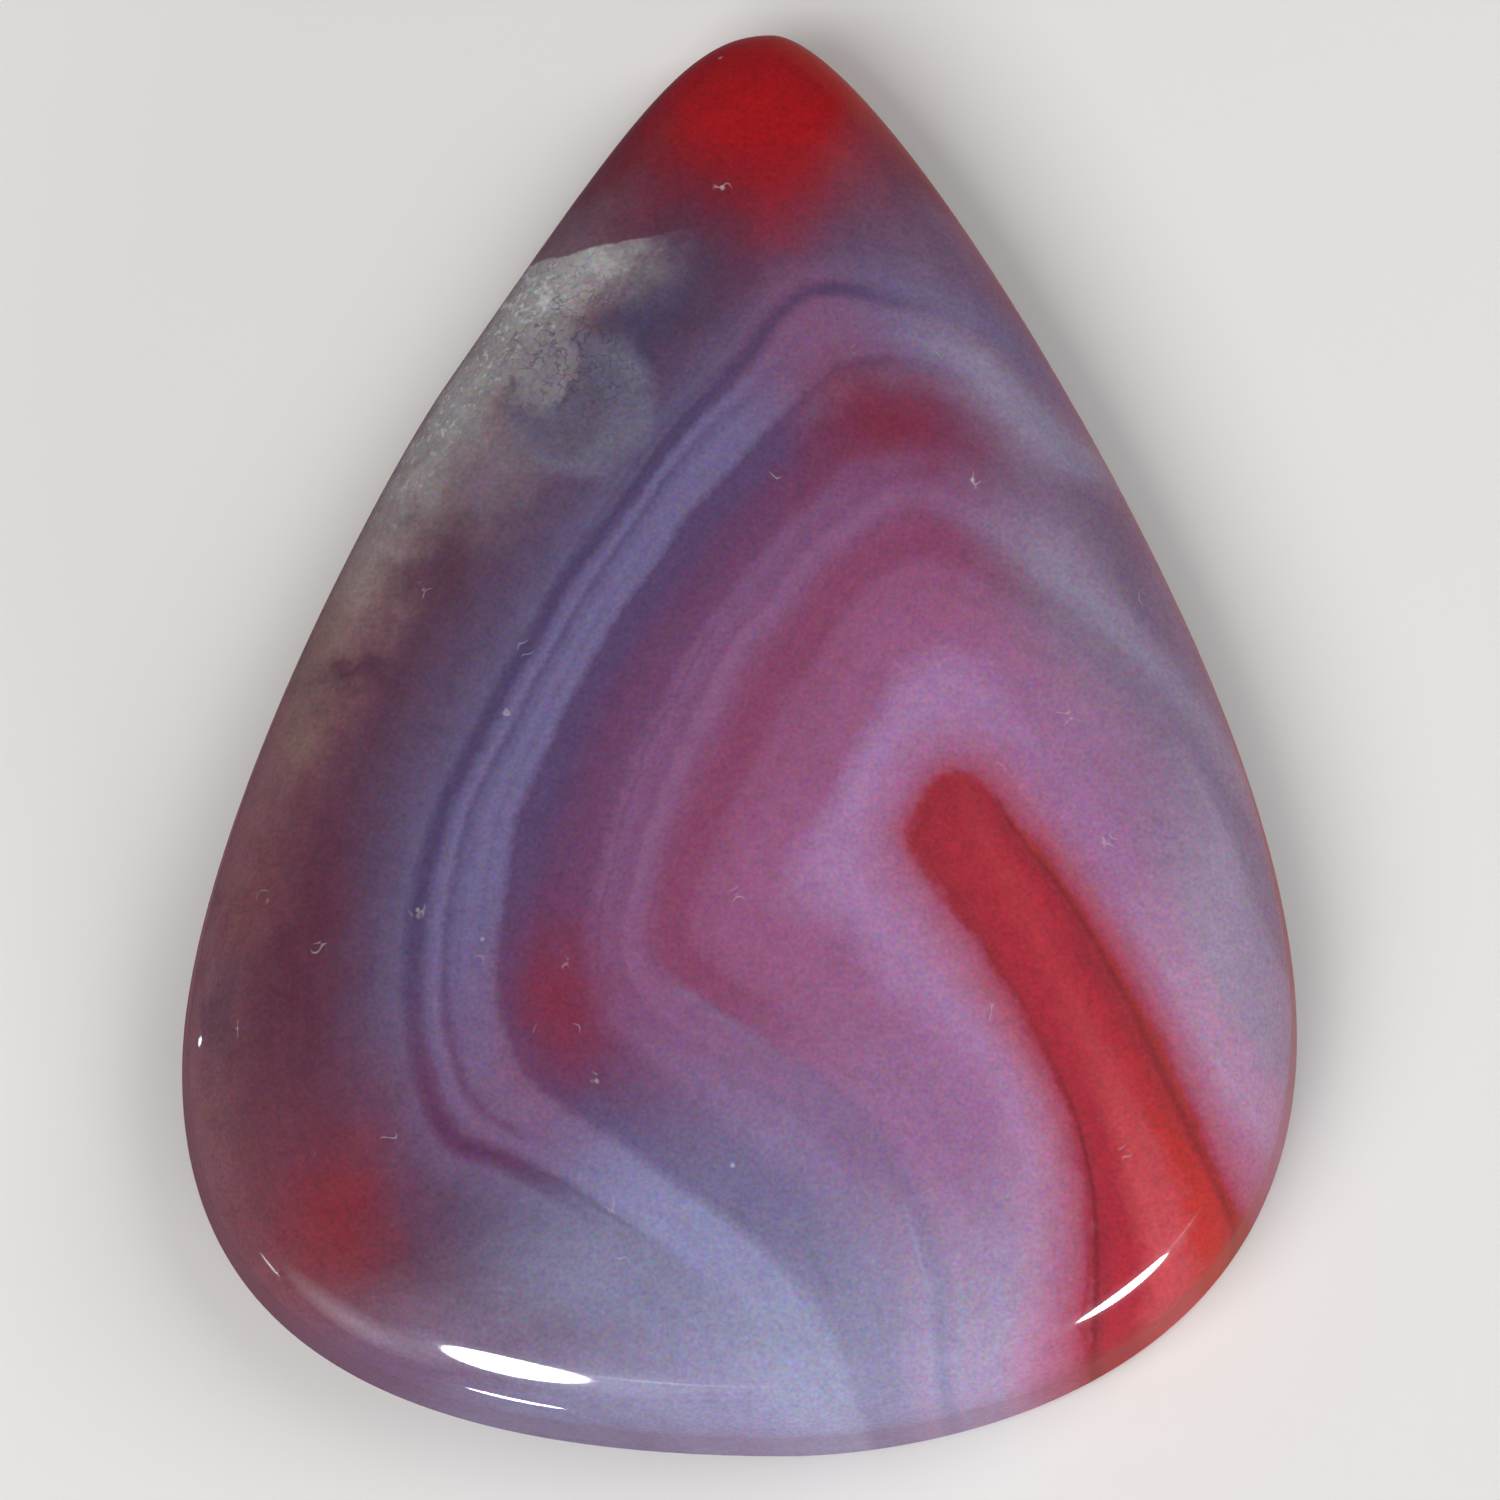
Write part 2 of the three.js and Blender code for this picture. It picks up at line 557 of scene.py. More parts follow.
# The bands on each side of the stone: depth from the red core outwards, and the pigment there
# Partly painted light: the low and right sides are painted lighter and the left flank darker than their own
# colours
bandStops = {
    "flank": [
        (-0.2, "coreWine"), (0.0, "wine"), (0.25, "orchidPink"), (0.75, "lavender"), (0.9, "lavender"),
        (1.02, "orchid"), (1.15, "mauve"), (1.7, "deepMauve"), (1.9, "garnetRose"),
        (2.3, "garnetRose"), (2.6, "plum"), (2.9, "lilac"), (3.05, "lilac"),
        (3.18, "dimPlum"), (3.5, "dimLilac"), (3.72, "aubergine"), (4.1, "inkWine"), (4.4, "inkViolet"),
        (4.61, "inkViolet"), (4.75, "periwinkle"), (5.1, "periwinkle"), (5.28, "dimPeriwinkle"),
        (5.55, "periwinkle"), (5.85, "lineViolet"), (6.02, "lineViolet"), (6.25, "slateViolet"),
        (7.0, "slate"), (8.2, "smoke"), (9.2, "umber"), (9.9, "rimClay"),
    ],
    "right": [
        (-0.05, "coreBrown"), (0.08, "coreHalo"), (0.28, "coreMist"), (0.5, "orchidPink"), (0.8, "orchid"),
        (1.0, "orchid"), (1.25, "ashMauve"), (1.75, "ashPlum"), (2.1, "ashPlum"),
        (2.75, "greyLilac"), (3.15, "ashSlate"), (3.6, "ashWine"), (3.9, "ashWine"),
        (4.15, "ashPlum"), (4.55, "greyLilac"), (5.1, "greyLilac"), (5.5, "ashPlum"), (5.85, "greyViolet"),
        (6.2, "greyViolet"), (7.0, "duskViolet"), (8.5, "duskViolet"), (9.6, "tipViolet"),
    ],
    "rightEnd": [
        (0.0, "coreBrown"), (0.1, "coreHalo"), (0.2, "coreMist"), (0.5, "pinkMist"), (0.75, "paleOrchid"),
        (1.05, "paleOrchid"), (1.3, "ashLilac"), (1.9, "ashLilac"), (2.02, "ashSlate"),
        (2.3, "ashSlate"), (2.7, "ashLilac"), (3.3, "ashSlate"), (4.0, "ashSlate"),
    ],
    "low": [
        (-0.05, "coreWine"), (0.05, "coreHalo"), (0.25, "coreMist"), (0.5, "pinkMist"), (0.8, "lavender"),
        (1.05, "orchid"), (1.4, "lowMauve"), (2.05, "lowMauve"), (2.4, "lowPlum"),
        (3.0, "lowPlum"), (3.55, "lowLilac"), (4.0, "lowInk"), (4.5, "lowInk"),
        (4.72, "milkBlue"), (5.5, "milkBlue"), (5.9, "milkGrey"), (7.5, "milkGrey"), (8.3, "lowDusk"),
        (9.5, "duskViolet"),
    ],
    "base": [
        (0.0, "coreWine"), (0.07, "coreHalo"), (0.2, "coreMist"), (0.5, "pinkMist"), (0.85, "paleOrchid"),
        (1.2, "milkPink"), (2.0, "milkPink"), (2.3, "milkShade"), (2.75, "milkPink"),
        (3.5, "milkShade"), (3.95, "milkDim"), (4.35, "milkDim"), (4.75, "milk"),
        (5.8, "milk"), (7.6, "milkShade"), (8.7, "milkDim"), (9.4, "milkCool"),
    ],
}

# Where each other side takes over from the flank, along the bands, and its share before and after
sideJoins = {
    "low": (2.05, 2.5, 0.0, 1.0),
    "base": (2.5, 2.9, 0.0, 1.0),
    "right": (0.72, 1.0, 1.0, 0.0),
    "rightEnd": (0.3, 0.62, 1.0, 0.0),
}

# The colours across the red core, at its upper end and where it reaches the stone's edge
coreStops = {
    "upper": [
        (-1.1, "coreHalo"), (-0.9, "coreTipRed"), (-0.5, "coreRed"), (-0.2, "coreRed"), (0.2, "coreMiddle"),
        (0.62, "coreRed"), (0.8, "coreTipRed"), (1.05, "coreBrown"),
    ],
    "lower": [
        (-1.1, "coreMist"), (-0.97, "coreWine"), (-0.85, "coreWine"), (-0.7, "coreRed"), (-0.4, "coreRed"),
        (0.0, "coreRose"), (0.35, "coreRose"), (0.62, "coreWarm"), (0.75, "coreWarm"), (1.05, "coreBrown"),
    ],
}
redCore = {
    "streaks": [(2.2, 0.5), (0.3, 0.3)],  # their size in millimetres, and how far they sway across the core
    "lowerUpTo": (-13, -6),  # millimetres up the stone, as are the other two stretches
    "tipFrom": (-4.5, -1.5),
    "tipShare": 0.6,
    "leftRim": (-0.92, 0.08, 0.6),  # where it lies across the core, its half width and its strength
    "leftRimUpTo": (-11, -7),
    "rightRim": (0.93, 0.1, 0.48),
    "softEdge": (-0.14, 0.04),  # depth among the bands
}


def paintRamp(value, stops):
    low, high = stops[0][0], stops[-1][0]
    shares = [((at - low) / (high - low), paint(name)) for at, name in stops]
    return Wire.make("ShaderNodeValToRGB", {"stops": shares}, {"Fac": (value - low) / (high - low)})


def coreColour(place, upward, coreSide):
    streak = coreSide
    for size, sway in redCore["streaks"]:
        streak = streak + noiseAt(place, 1.0, size * mm) * sway
    upper, lower = [paintRamp(streak, coreStops[name]) for name in ("upper", "lower")]
    colour = mixPaint(fadeOut(upward, *metres(*redCore["lowerUpTo"])), upper, lower)
    tip = fade(upward, *metres(*redCore["tipFrom"])) * redCore["tipShare"]
    colour = mixPaint(tip, colour, paint("coreTipRed"))
    leftRim = bump(coreSide, *redCore["leftRim"]) * fadeOut(upward, *metres(*redCore["leftRimUpTo"]))
    return mixPaint(bump(coreSide, *redCore["rightRim"]) + leftRim, colour, paint("coreLine"))


# Where the outer bands bend they turn purple: first the depths between which they do, and then each bend's
# place along the bands, its half width and its strength
purpleBends = {
    "fromDepth": (4.5, 4.8),
    "toDepth": (5.7, 6.8),
    "peak": (1.0, 0.18, 0.95),
    "corner": (2.06, 0.3, 0.65),
}

# Single lines beside the ramps: depth, half width, start and end along the bands, pigment, strength
bandLines = [
    (5.38, 0.13, (1.1, 1.25), (1.85, 2.0), "lineViolet", 0.5),
    (5.42, 0.15, (1.8, 1.95), (2.08, 2.14), "inkWine", 0.65),
    (5.20, 0.10, (1.3, 1.5), (1.85, 2.0), "dimPeriwinkle", 0.5),
    (4.92, 0.07, (1.2, 1.4), (1.8, 2.0), "dimPeriwinkle", 0.5),
    (5.68, 0.06, (1.15, 1.3), (1.9, 2.05), "dimPeriwinkle", 0.6),
    (5.92, 0.26, (0.84, 0.95), (1.08, 1.2), "lineViolet", 0.95),
    (6.04, 0.16, (1.08, 1.18), (1.26, 1.38), "slateViolet", 0.8),
    (5.74, 0.16, (1.08, 1.18), (1.26, 1.38), "lineViolet", 0.8),
    (5.95, 0.30, (1.85, 2.0), (2.08, 2.34), "lineWine", 0.95),
    (5.84, 0.12, (2.1, 2.2), (2.35, 2.6), "lineViolet", 0.28),
    (6.14, 0.12, (2.1, 2.2), (2.3, 2.45), "lineViolet", 0.22),
    (4.35, 0.35, (0.7, 0.8), (1.04, 1.14), "ashPlum", 0.55),
    (3.66, 0.10, (1.2, 1.3), (1.7, 1.9), "inkWine", 0.3),
    (3.15, 0.07, (1.25, 1.4), (1.9, 2.05), "dimPlum", 0.7),
    (3.48, 0.06, (1.3, 1.45), (1.95, 2.05), "aubergine", 0.5),
    (2.55, 0.30, (2.02, 2.12), (2.5, 2.7), "lowPlum", 0.6),
    (1.92, 0.12, (2.75, 2.85), (3.2, 3.4), "milk", 0.6),
    (2.62, 0.10, (2.6, 2.75), (3.2, 3.4), "milk", 0.5),
]

# Clouds of colour laid over the bands, each where it shows in the photograph: its middle, its two half
# widths, its turn in degrees against the clock, how ragged it is, its pigment and its strength
clouds = {
    "maroon beside the tip": ((668, 160), (128, 96), 50, 0.4, "tipMaroon", 1.7),
    "plum below the maroon": ((654, 262), (70, 44), 30, 0.8, "tipPlum", 1.0),
    "plum above the crack": ((590, 226), (64, 26), 30, 0.6, "crackPlum", 1.0),
    "violet right of the tip": ((880, 176), (54, 32), -52, 0.4, "tipViolet", 0.7),
    "red tip": ((758, 84), (110, 75), -4, 0.4, "tipRed", 1.5),
    "red tip's tail": ((780, 158), (44, 84), 2, 0.5, "tipRed", 0.62),
    "red at the bands' peak": ((893, 420), (82, 42), -24, 0.6, "spotRed", 0.9),
    "red down from the peak": ((838, 456), (30, 66), -42, 0.6, "spotRed", 0.4),
    "red at the bands' corner": ((559, 1000), (44, 70), 4, 0.6, "spotRed", 0.9),
    "wine round the glow": ((314, 1188), (84, 120), -14, 0.7, "glowWine", 0.7),
    "red glow": ((336, 1220), (46, 60), -24, 0.7, "glowRed", 0.65),
    "maroon in the left": ((300, 960), (44, 140), -10, 0.8, "leftMaroon", 1.1),
    "blue beside the line": ((648, 318), (90, 40), 50, 0.6, "inkBlue", 1.0),
    "clay far along the edge": ((366, 540), (150, 36), 60, 1.0, "clay", 1.1),
    "grey along the edge": ((462, 386), (170, 52), 60, 1.0, "frostGrey", 1.0),
    "grey below the lobes": ((502, 472), (58, 34), 60, 0.8, "frostDusk", 0.9),
    "olive low on the left": ((250, 900), (24, 60), -14, 1.0, "oliveDark", 0.8),
    "dark low on the left": ((214, 1012), (18, 50), -4, 0.8, "smoke", 0.7),
    "olive on the left": ((300, 736), (34, 22), 60, 1.0, "olive", 0.8),
    "olive on the edge": ((314, 655), (48, 18), 66, 1.2, "olive", 1.1),
    "stain between": ((356, 680), (44, 12), 14, 1.2, "stain", 0.7),
    "stain above": ((430, 566), (40, 34), 40, 1.0, "stain", 0.7),
    "violet notch": ((398, 512), (16, 10), 20, 1.0, "stain", 0.6),
}
cloudFall = 0.8  # how fast a cloud thins out from its middle
stirSize = 1.1  # millimetres: the swirls that ruffle the clouds' edges


# How far from a middle, counted in half widths and squared; where it looks already leans with the bands
def spread(where, at, size, turn):
    middle = fromPhoto([at])[0] * mm
    halves = [length / camera["pixelsPerMm"] * mm for length in size]
    local = Wire.make("ShaderNodeMapping", {"vector_type": "TEXTURE"}, {
        "Vector": where, "Location": (float(middle[0]), float(middle[1]), 0),
        "Rotation": (0, 0, math.radians(turn)), "Scale": (*halves, 1)})
    return vectorMaths("DOT_PRODUCT", local, local, output=1)


def cloud(where, at, size, turn):
    return (spread(where, at, size, turn) * -cloudFall).maths("EXPONENT")


def disc(where, at, size, turn, soft):
    return fadeOut(spread(where, at, size, turn), 1 - soft, 1 + soft)


# The clouded quartz at the upper left: it stops short at a crack, and curls in lobes below it.
# Each of its patches has its middle, its two half widths and its turn
frost = {
    "crack": [(530, 257), (640, 235)],
    "crackSway": 0.3,  # millimetres, as are the next five
    "crackSoft": 0.08,
    "sway": 0.8,
    "mottleSize": 0.5,
    "crinkleSize": 0.42,
    "crumbSize": 0.2,
    "outerLobe": ((584, 404), (72, 74), 0),
    "outerLobeSoft": 0.35,
    "outerMiddle": ((564, 396), (50, 56), 0),
    "outerMiddleSoft": 0.7,
    "innerLobe": ((544, 366), (36, 44), 0),
    "innerRagged": 1.5,
    "innerFade": (0.4, 1.7),
    "innerEdge": (1.2, 0.4, 0.5),  # where the dark line round it lies, its half width and its strength
    "beyond": ((645, 262), (30, 22), -20),
    "upper": ((570, 266), (58, 32), 12),
    "knot": ((526, 304), (36, 26), 50),
    "rim": ((472, 356), (150, 27), 60),
    "veins": ((575, 345), (70, 84), 30),
    "veinWidth": 0.045,
    "veinStrength": 0.75,
    "curl": ((530, 306), (17, 19), 0),
    "curlTop": ((522, 290), (26, 18), 0),
    "curlRing": (1.0, 0.45, 0.75),
    "crumbs": (0.1, 0.18),
    "crumbsAbove": 0.4,  # beside those on the rim
    "crumbStrength": 0.7,
    "breaks": {"veins": (-0.2, 0.05), "innerEdge": (-0.08, 0.1), "curls": (-0.12, 0.06)},  # by the mottle
}

# Its layers from the lowest up: pigment, how much of it shows, and how much the mottle adds and takes away
frostLayers = {
    "outerLobe": ("frostDim", 0.75, 1.2),
    "outerMiddle": ("frostShade", 0.65, 1.2),
    "innerLobe": ("frostGrey", 0.8, 1.5),
    "beyond": ("frostHaze", 0.6, 2.0),
    "upper": ("frost", 1.2, 2.4),
    "rim": ("frost", 0.9, 2.8),
}


# Nought above the crack, one below it
def belowTheCrack(flat, stir):
    start, end = fromPhoto(frost["crack"]) * mm
    rise = float((end[1] - start[1]) / (end[0] - start[0]))
    fromStart = vectorMaths("SUBTRACT", flat, (float(start[0]), float(start[1]), 0))
    sway = Wire.make("ShaderNodeSeparateColor", {}, {"Color": stir}, "Blue") - 0.5
    below = vectorMaths("DOT_PRODUCT", fromStart, (rise, -1, 0), output=1) + sway * (frost["crackSway"] * mm)
    return fade(below, 0.0, frost["crackSoft"] * mm)


def frostColour(colour, place, flat, stir, warp):
    f = frost
    moved = vectorMaths("MULTIPLY_ADD", warp, (*metres(f["sway"], f["sway"]), 0), flat)
    belowCrack = belowTheCrack(flat, stir)
    mottle = noiseAt(place, 4.0, f["mottleSize"] * mm)
    crinkle = noiseAt(place, 2.0, f["crinkleSize"] * mm).maths("ABSOLUTE")
    crumbs = fade(noiseAt(place, 1.0, f["crumbSize"] * mm), *f["crumbs"])

    innerSpread = spread(moved, *f["innerLobe"]) + mottle * f["innerRagged"]
    shares = {
        "outerLobe": disc(moved, *f["outerLobe"], f["outerLobeSoft"]) * belowCrack,
        "outerMiddle": disc(moved, *f["outerMiddle"], f["outerMiddleSoft"]) * belowCrack,
        "innerLobe": fadeOut(innerSpread, *f["innerFade"]),
        "beyond": cloud(moved, *f["beyond"]) * belowCrack,
        "upper": (cloud(moved, *f["upper"]) + cloud(moved, *f["knot"])) * belowCrack,
        "rim": cloud(moved, *f["rim"]) * belowCrack,
    }
    for name, (pigment, shown, broken) in frostLayers.items():
        colour = mixPaint(shares[name] * (mottle * broken + shown), colour, paint(pigment))

    veins, innerEdge, curls = [fade(mottle, *f["breaks"][name]) for name in ("veins", "innerEdge", "curls")]
    veins = veins * cloud(flat, *f["veins"]) * fadeOut(crinkle, 0.0, f["veinWidth"], f["veinStrength"])
    colour = mixPaint(veins * belowCrack, colour, paint("veinDark"))
    colour = mixPaint(bump(innerSpread, *f["innerEdge"]) * innerEdge, colour, paint("veinDark"))
    for name in ("curl", "curlTop"):
        ring = bump(spread(moved, *f[name]), *f["curlRing"]) * curls
        colour = mixPaint(ring, colour, paint("frostBright"))
    crumbs = crumbs * (shares["rim"] + shares["upper"] * f["crumbsAbove"]) * f["crumbStrength"]
    return mixPaint(crumbs, colour, paint("frostBright"))


def agateColour(place, depth, along, coreSide):
    x = Wire.make("ShaderNodeSeparateXYZ", {}, {"Vector": place}, "X")
    upward = x.beside("Y") - (guideHeight * mm - x.beside("Z")) * bandLean
    colour = paintRamp(depth, bandStops["flank"])
    for side, join in sideJoins.items():
        colour = mixPaint(fade(along, *join), colour, paintRamp(depth, bandStops[side]))
    core = coreColour(place, upward, coreSide)
    colour = mixPaint(fadeOut(depth, *redCore["softEdge"]), colour, core)

    outerBands = fade(depth, *purpleBends["fromDepth"]) * fadeOut(depth, *purpleBends["toDepth"])
    bends = bump(along, *purpleBends["peak"]) + bump(along, *purpleBends["corner"])
    colour = mixPaint(outerBands * bends, colour, paint("purple"))
    for at, width, starts, ends, name, strength in bandLines:
        stretch = fade(along, *starts) * fadeOut(along, *ends)
        colour = mixPaint(bump(depth, at, width, strength) * stretch, colour, paint(name))

    flat = vectorOf(x, upward)
    stir = noise(place, 3.0, stirSize * mm, "Color")
    warp = vectorMaths("MULTIPLY_ADD", stir, (1, 1, 0), (-0.5, -0.5, 0))
    warped = {}
    for at, size, turn, rough, name, strength in clouds.values():
        if rough not in warped:
            warped[rough] = vectorMaths("MULTIPLY_ADD", warp, (rough * 2 * mm, rough * 2 * mm, 0), flat)
        colour = mixPaint(cloud(warped[rough], at, size, turn) * strength, colour, paint(name))
    return frostColour(colour, place, flat, stir, warp)


# White flecks too small to model, thinly strewn: round pits, and short bent strokes
flecks = {
    "spacing": 1.5,  # millimetres
    "chosen": (0.6, 0.64),  # of the spots, those past these shares hold a fleck
    "pit": (0.02, 0.06),  # where its edge fades, counted in spacings
    "strokeReach": (0.1, 0.18),
    "strokeBend": 0.4,  # millimetres
    "strokeWidth": 0.035,
    "strokeStrength": 0.8,
    "strength": 0.45,
}


def strewnFlecks(place):
    f = flecks
    spots = {"Vector": place, "Scale": 1 / (f["spacing"] * mm)}
    near = Wire.make("ShaderNodeTexVoronoi", {}, spots, "Distance")
    pitted = Wire.make("ShaderNodeSeparateColor", {}, {"Color": near.beside("Color")}, "Red")
    pit = fadeOut(near, *f["pit"]) * fade(pitted, *f["chosen"])
    bend = noiseAt(place, 0.0, f["strokeBend"] * mm).maths("ABSOLUTE")
    line = fadeOut(bend, 0.0, f["strokeWidth"], f["strokeStrength"])
    stroke = line * fadeOut(near, *f["strokeReach"]) * fade(pitted.beside("Green"), *f["chosen"])
    return (pit + stroke) * f["strength"]


# The stone's fine grain and its polish, with sizes and heights in millimetres
finish = {
    "wander": (2.5, 0.14),  # the size, and how deep the bands wander
    "fineWander": (0.25, 0.16),
    "fineBands": (7, 4),  # how close across the bands and along them
    "fineBandStrength": 0.16,
    "fibres": (1.2, 34),  # the same, for the fibres between the outer bands and the rim
    "fibreDepth": (6.0, 6.6),
    "fibreStart": (1.05, 1.2),
    "fibreEnd": (2.2, 2.6),
    "fibreStrength": 0.3,
    "grainSize": 0.45,
    "grainStrength": 0.3,
    "speckSize": 0.11,
    "speckTint": 0.8,  # from grain to grain
    "speckDark": 0.6,
    "waveSize": 1.6,
    "waveHeight": 0.004,
    "sheen": 0.055,  # roughness
    "sheenSize": 1.5,
    "sheenSway": 0.03,
    "refraction": 1.54,
}


# Fine bands, fibres and grain make the colour a little lighter and darker, and specks tint it
def grainedColour(colour, place, depth, along):
    f = finish
    across, lengthwise = f["fineBands"]
    bands = noiseAt(vectorOf(depth * across, along * lengthwise), 2.0) * f["fineBandStrength"]
    across, lengthwise = f["fibres"]
    shown = fade(depth, *f["fibreDepth"]) * fade(along, *f["fibreStart"])
    shown = shown * fadeOut(along, *f["fibreEnd"], f["fibreStrength"])
    fibres = noiseAt(vectorOf(depth * across, along * lengthwise), 2.0) * shown
    grain = noiseAt(place, 2.0, f["grainSize"] * mm) * f["grainStrength"]
    brightness = bands + fibres + grain + 1
    colour = Wire.make("ShaderNodeVectorMath", {"operation": "SCALE"}, {0: colour, "Scale": brightness})
    specks = noise(place, 1.0, f["speckSize"] * mm, "Color")
    tint = vectorMaths("MULTIPLY_ADD", specks, [f["speckTint"]] * 3, [f["speckDark"]] * 3)
    return vectorMaths("MULTIPLY", colour, tint)


def agate():
    material = bpy.data.materials.new("bandedAgate")
    material.use_nodes = True
    tree = material.node_tree
    tree.nodes.clear()
    Wire.tree = tree
    place = Wire.make("ShaderNodeTexCoord", {}, {}, "Object")
    depth, along, coreSide = [vertexValue(name) for name in ("bandDepth", "bandAlong", "coreSide")]
    (size, sway), (fineSize, fineSway) = finish["wander"], finish["fineWander"]
    wander = noiseAt(place, 1.0, size * mm) * sway + noiseAt(place, 2.0, fineSize * mm) * fineSway
    colour = agateColour(place, depth + wander, along, coreSide)
    colour = mixPaint(strewnFlecks(place), colour, paint("frostBright"))
    colour = grainedColour(colour, place, depth, along)

    waves = noiseAt(place, 0.0, finish["waveSize"] * mm)
    polish = {"Height": waves, "Strength": 1.0, "Distance": finish["waveHeight"] * mm}
    normal = Wire.make("ShaderNodeBump", {}, polish, "Normal")
    roughness = noiseAt(place, 1.0, finish["sheenSize"] * mm) * finish["sheenSway"] + finish["sheen"]

    shader = tree.nodes.new("ShaderNodeBsdfPrincipled")
    shader.inputs["IOR"].default_value = finish["refraction"]
    tree.links.new(colour.socket, shader.inputs["Base Color"])
    tree.links.new(roughness.socket, shader.inputs["Roughness"])
    tree.links.new(normal.socket, shader.inputs["Normal"])
    output = tree.nodes.new("ShaderNodeOutputMaterial")
    tree.links.new(shader.outputs["BSDF"], output.inputs["Surface"])
    return material


paleFloor = {
    "size": 3.0,  # metres
    "drop": 0.02,  # millimetres below the stone
    "colour": (0.72, 0.70, 0.68, 1),
    "roughness": 0.85,
}


def floorMaterial():
    material = bpy.data.materials.new("paleFloor")
    material.use_nodes = True
    shader = material.node_tree.nodes["Principled BSDF"]
    shader.inputs["Base Color"].default_value = paleFloor["colour"]
    shader.inputs["Roughness"].default_value = paleFloor["roughness"]
    return material


def addFloor():
    bpy.ops.object.select_all(action="DESELECT")
    bpy.ops.mesh.primitive_plane_add(size=paleFloor["size"], location=(0, 0, -paleFloor["drop"] * mm))
    floor = bpy.context.object
    floor.name = "floor"
    floor.data.transform(floor.matrix_world)
    floor.matrix_world = Matrix.Identity(4)
    floor.data.materials.append(floorMaterial())
    floor.visible_glossy = False  # so the polished wall mirrors the dim room and stays dark


def addCamera(c):
    tilt = math.radians(c["elevation"])
    back = Vector((0, -math.cos(tilt), math.sin(tilt)))
    aim = Vector(c["aim"]) * mm
    spot = aim + back * c["distance"] * mm
    bpy.ops.object.camera_add(location=spot, rotation=(math.radians(90) - tilt, 0, 0))
    view = bpy.context.object
    view.data.sensor_width = c["sensor"]
    seen = c["frameWidth"] / c["pixelsPerMm"]
    view.data.lens = c["sensor"] * c["distance"] / seen
    view.data.clip_start = c["clipStart"] * mm
    bpy.context.scene.camera = view


# Large soft lamps that the polish doesn't mirror, in millimetres
lampAim = (0, 0, 3)
lamps = {
    "keySoft": {"from": (-180, -160, 300), "size": (260, 260), "watts": 1.18},
    "fillSoft": {"from": (220, 120, 260), "size": (260, 260), "watts": 0.73},
    "wallSoft": {"from": (120, -230, 50), "size": (160, 70), "watts": 0.32},
}

# Small windows that only the polish mirrors: degrees right of the near side, degrees up, width and height
# in degrees, how bright each is beside white, and how many rings its soft rim has
windows = {
    "streakLeft": {"turn": -16.8, "rise": 20, "spread": (12.5, 22), "bright": 45, "rings": 1},
    "streakHalo": {"turn": -16, "rise": 20, "spread": (30, 38), "bright": 2.2, "rings": 5},
    "streakTail": {"turn": -6, "rise": 27, "spread": (12, 3), "bright": 3, "rings": 3},
    "streakBelow": {"turn": -15.7, "rise": -24, "spread": (7.5, 3.5), "bright": 40, "rings": 1},
    "streakRight": {"turn": 42.5, "rise": 18.5, "spread": (17, 9), "bright": 45, "rings": 1},
    "streakRightTail": {"turn": 56, "rise": 20.5, "spread": (12, 3), "bright": 2.5, "rings": 3},
    "streakRightHalo": {"turn": 42.5, "rise": 19, "spread": (34, 22), "bright": 1.2, "rings": 4},
    "glintLeft": {"turn": -55.4, "rise": -13.6, "spread": (6, 2.5), "bright": 8, "rings": 1},
    "glintFarLeft": {"turn": -96.5, "rise": -25, "spread": (0.9, 7), "bright": 14, "rings": 1},
    "softLeft": {"turn": -36, "rise": 3, "spread": (34, 38), "bright": 2.2, "rings": 7},
}

windowsAway = 260  # millimetres
windowTint = (0.84, 0.89, 1.0)  # daylight, a little blue
ringStep = 0.01  # how much nearer each smaller ring of a window stands


def addArea(name, shape, spot, aim, size, energy):
    bpy.ops.object.light_add(type="AREA", location=spot)
    light = bpy.context.object
    light.name = name
    light.rotation_euler = (aim - spot).to_track_quat("-Z", "Y").to_euler()
    light.data.shape = shape
    light.data.size, light.data.size_y = size
    light.data.energy = energy
    light.visible_camera = False
    return light


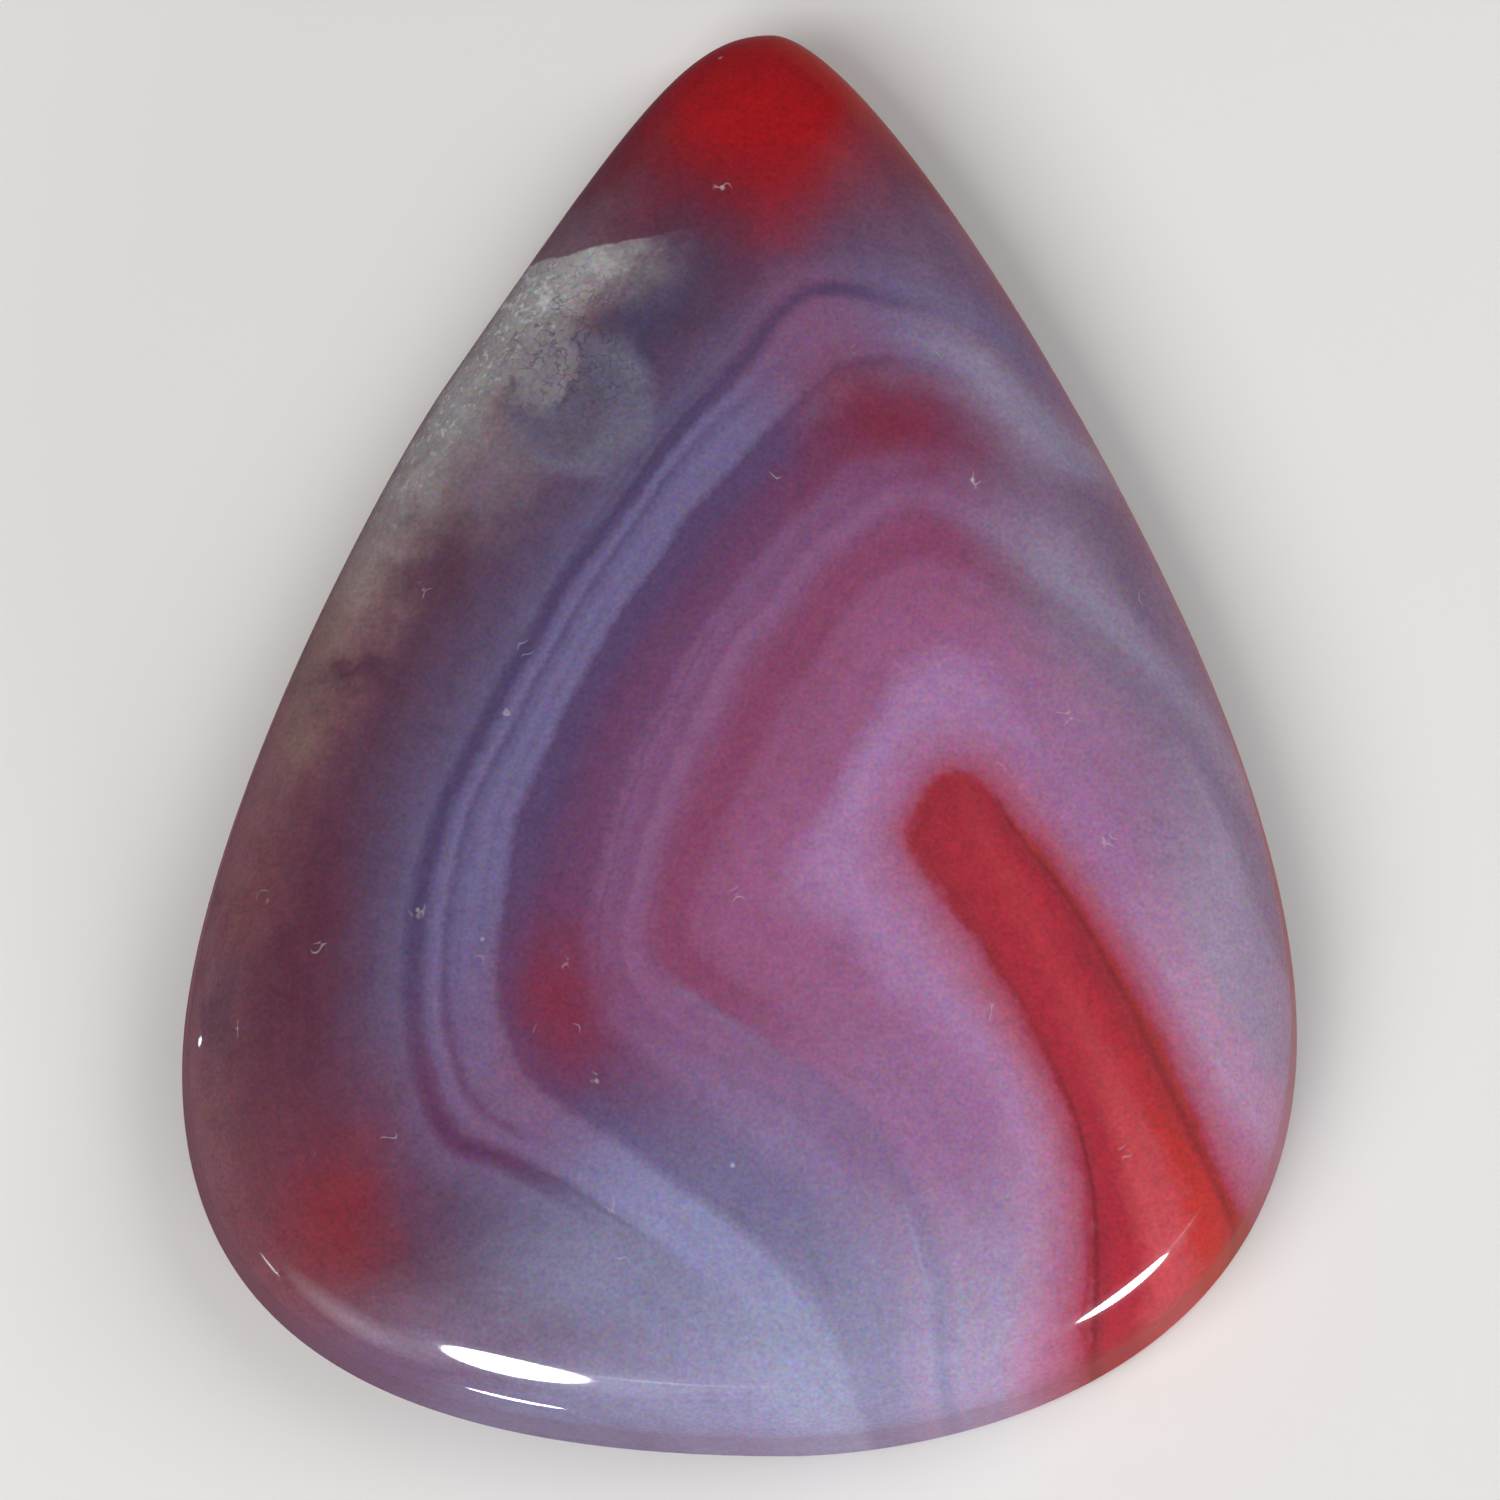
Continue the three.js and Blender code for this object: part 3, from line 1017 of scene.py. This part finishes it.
def addLamps():
    aim = Vector(lampAim) * mm
    for name, lamp in lamps.items():
        spot = Vector(lamp["from"]) * mm
        light = addArea(name, "RECTANGLE", spot, aim, metres(*lamp["size"]), lamp["watts"])
        light.visible_glossy = False


def addWindows():
    aim, away = Vector(lampAim) * mm, windowsAway * mm
    for name, window in windows.items():
        turn, rise = math.radians(window["turn"]), math.radians(window["rise"])
        toWindow = Vector((math.sin(turn) * math.cos(rise), -math.cos(turn) * math.cos(rise), math.sin(rise)))
        for ring in range(window["rings"]):
            share = 1 - ring / window["rings"]
            spot = aim + toWindow * away * (1 - ringStep * ring)
            size = [math.radians(a) * away * share for a in window["spread"]]
            area = math.pi / 4 * size[0] * size[1]
            energy = window["bright"] / window["rings"] * math.pi * area
            light = addArea(name, "ELLIPSE", spot, aim, size, energy)
            light.data.color = windowTint
            light.visible_diffuse = False


# Below the floor's edge only the polish sees the room, and the wall of the stone mirrors it
room = {
    "above": (0.09, 0.093, 0.1, 1),
    "belowLeft": (0.1, 0.05, 0.08, 1),
    "belowRight": (0.36, 0.15, 0.12, 1),
    "leftToRight": (-0.5, 0.5),  # where each fades into the next, as seen from the stone
    "belowToAbove": (-0.2, 0.0),
}


def addRoom():
    world = bpy.data.worlds.new("studio")
    bpy.context.scene.world = world
    world.use_nodes = True
    Wire.tree = world.node_tree
    toward = Wire.make("ShaderNodeTexCoord", {}, {}, "Generated")
    across = Wire.make("ShaderNodeSeparateXYZ", {}, {"Vector": toward}, "X")
    below = mixPaint(fade(across, *room["leftToRight"]), room["belowLeft"], room["belowRight"])
    shade = mixPaint(fade(across.beside("Z"), *room["belowToAbove"]), below, room["above"])
    background = world.node_tree.nodes["Background"]
    world.node_tree.links.new(shade.socket, background.inputs["Color"])


addCamera(camera)
print("camera placed")
addFloor()
addLamps()
addWindows()
addRoom()
print("floor and lamps placed")
piece = modelStone(stone)
markBands(piece)
print("stone modelled:", len(piece.data.vertices), "points")
piece.data.materials.clear()
piece.data.materials.append(agate())
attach(piece, "root")
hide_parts("cabochon")
bpy.context.scene.view_settings.view_transform = "Standard"
print("agate finished")

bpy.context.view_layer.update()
